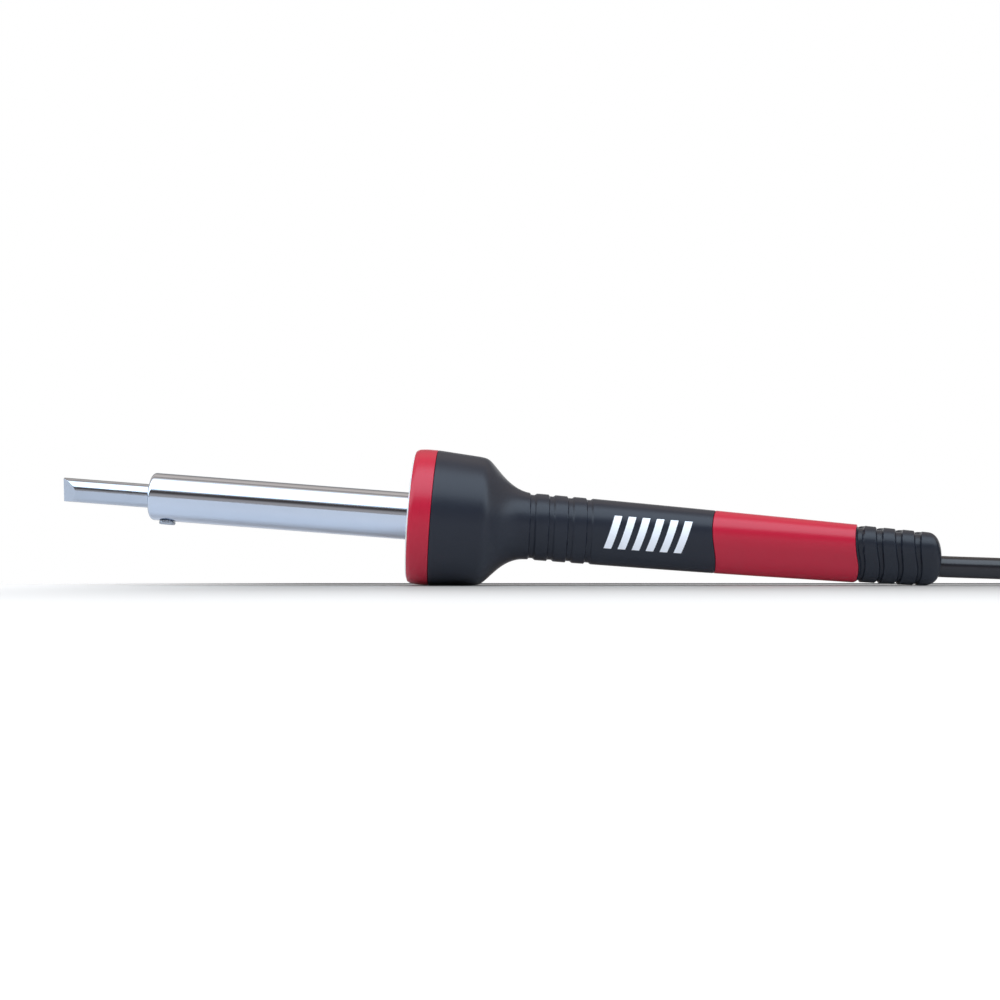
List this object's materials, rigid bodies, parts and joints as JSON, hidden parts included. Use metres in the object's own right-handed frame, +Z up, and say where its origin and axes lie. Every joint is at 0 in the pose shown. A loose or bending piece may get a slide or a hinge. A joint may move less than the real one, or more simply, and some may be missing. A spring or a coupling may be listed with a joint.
{
  "type": "soldering iron",
  "caption": "Pencil-type electric soldering iron: chisel tip in a steel barrel, lit ring, soft grip, ribbed strain relief and a mains lead wound in a tied hank with its plug.",
  "frame": {"origin": "bottom centre of the iron's own box on the bench it lies on, without its lead, hank and plug", "axes": "+X along the bench from the tip's edge towards the lead, +Y away from the viewer's side, +Z up from the bench"},
  "size_m": [0.3942, 0.0566, 0.0389],
  "materials": {
    "tip_plate": "satin iron plate",
    "barrel_steel": "brushed",
    "socket_brass": "machined",
    "screw_steel": "bright",
    "ceramic": "fired alumina",
    "winding_wire": "oxidised",
    "mica": "satin",
    "flange_steel": "zinc plated",
    "baffle_board": "matt",
    "lens_diffuser": "frosted",
    "red_shell": "satin moulding",
    "board_green": "solder mask",
    "led_yellow": "phosphor",
    "resistor_black": "matt",
    "grip_black": "soft touch",
    "relief_black": "soft touch",
    "clamp_nylon": "natural nylon",
    "wire_black": "satin",
    "wire_white": "satin",
    "wire_green": "satin",
    "wire_red": "satin",
    "splice_blue": "satin",
    "glass_sleeving": "woven",
    "cord_black": "satin",
    "tie_black": "matt",
    "plug_black": "satin moulding",
    "blade_brass": "bright"
  },
  "bodies": {
    "iron": {"barrel": "barrel_steel", "tip_socket": "socket_brass", "heater_core": "ceramic", "heater_winding": "winding_wire", "mica_sleeve": "mica", "barrel_flange": "flange_steel", "heat_baffle": "baffle_board", "flange_screws": "screw_steel", "halo_lens": "lens_diffuser", "red_ring": "red_shell", "led_board": "board_green", "leds": "led_yellow", "led_resistor": "resistor_black", "led_diode": "resistor_black", "front_grip": "grip_black", "handle_core": "red_shell", "strain_relief": "relief_black", "cord_clamp": "clamp_nylon", "clamp_screws": "screw_steel", "live_wire": "wire_black", "neutral_wire": "wire_white", "earth_wire": "wire_green", "crimp_splices": "splice_blue", "heater_leads": "glass_sleeving", "led_leads": "wire_red", "mains_cord": "cord_black", "cord_hank": "cord_black", "cord_tie": "tie_black", "plug_body": "plug_black", "plug_blades": "blade_brass", "plug_earth_pin": "blade_brass", "plug_relief": "plug_black", "plug_lead": "cord_black"},
    "tip": {"chisel_tip": "tip_plate"},
    "screw": {"retaining_screw": "screw_steel"}
  },
  "joints": [
    {"name": "tip_slide", "type": "slide", "parent": "iron", "child": "tip", "axis": [-0.997, 0, 0.0772], "range_m": [0, 0.038]},
    {"name": "retaining_screw_turn", "type": "hinge", "parent": "iron", "child": "screw", "pos_m": [-0.08943, 0, 0.01729], "axis": [-0.0772, 0, -0.997], "range_deg": [0, 720]}
  ]
}
